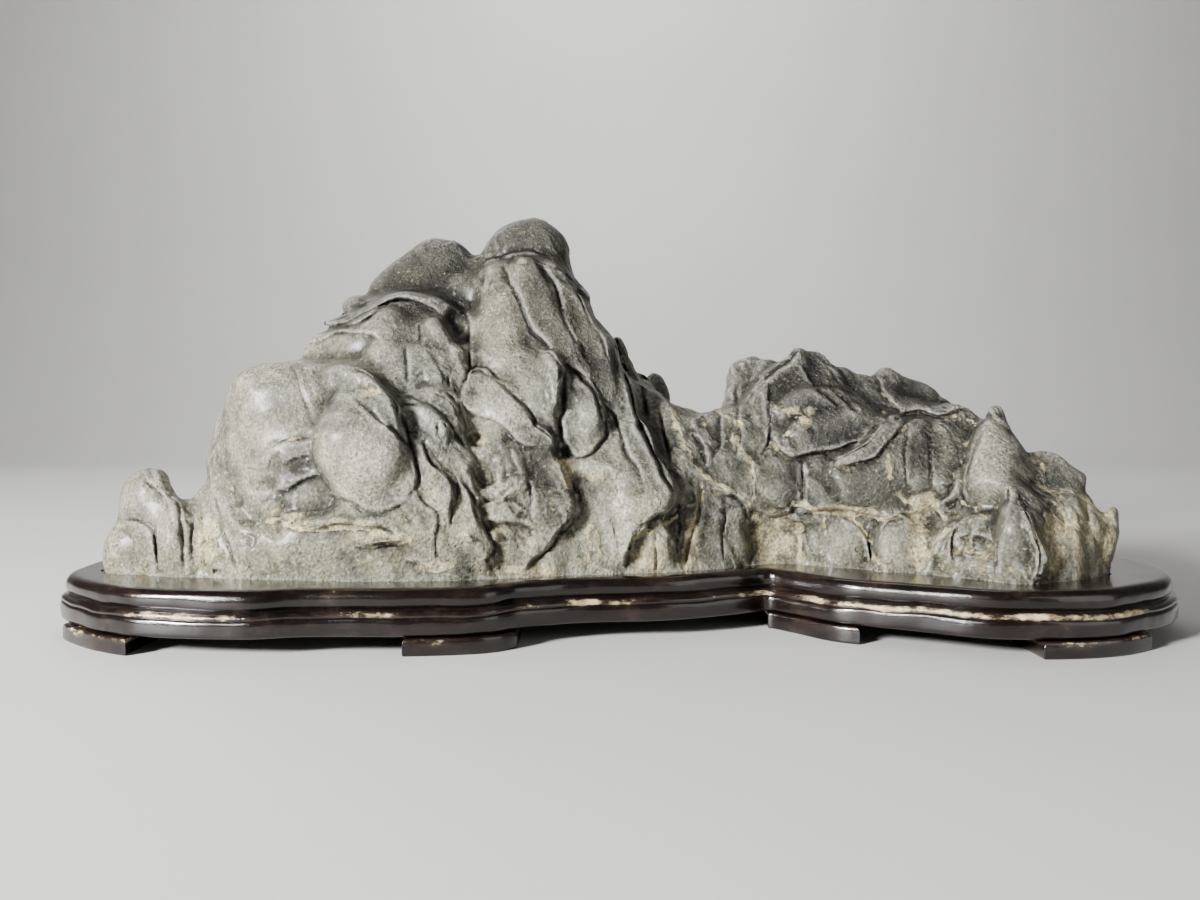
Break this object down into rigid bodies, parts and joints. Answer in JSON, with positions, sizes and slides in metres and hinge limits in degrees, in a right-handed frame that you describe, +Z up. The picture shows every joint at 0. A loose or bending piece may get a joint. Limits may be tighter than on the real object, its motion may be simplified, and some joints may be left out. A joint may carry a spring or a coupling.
{
  "type": "scholar's rock on a stand",
  "caption": "Small mountain-shaped limestone with a tall peak, a rounded boulder and a craggy range, seated in a low lacquered wooden stand with short feet, for display.",
  "frame": {"origin": "on the table, under the middle of the stand's outline", "axes": "+Z up, +X along the stand towards the lower range, -Y towards the viewer, the side the stone is shown from"},
  "size_m": [0.3953, 0.16, 0.1519],
  "materials": {
    "limestone": "natural weathered surface, lightly waxed",
    "lacquered_wood": "very dark brown gloss lacquer, worn pale on the edges"
  },
  "bodies": {
    "root": {"stone": "limestone", "stand": "lacquered_wood", "foot_front_left": "lacquered_wood", "foot_front_mid_left": "lacquered_wood", "foot_front_mid_right": "lacquered_wood", "foot_front_right": "lacquered_wood", "foot_back_left": "lacquered_wood", "foot_back_middle": "lacquered_wood", "foot_back_right": "lacquered_wood"}
  },
  "joints": []
}
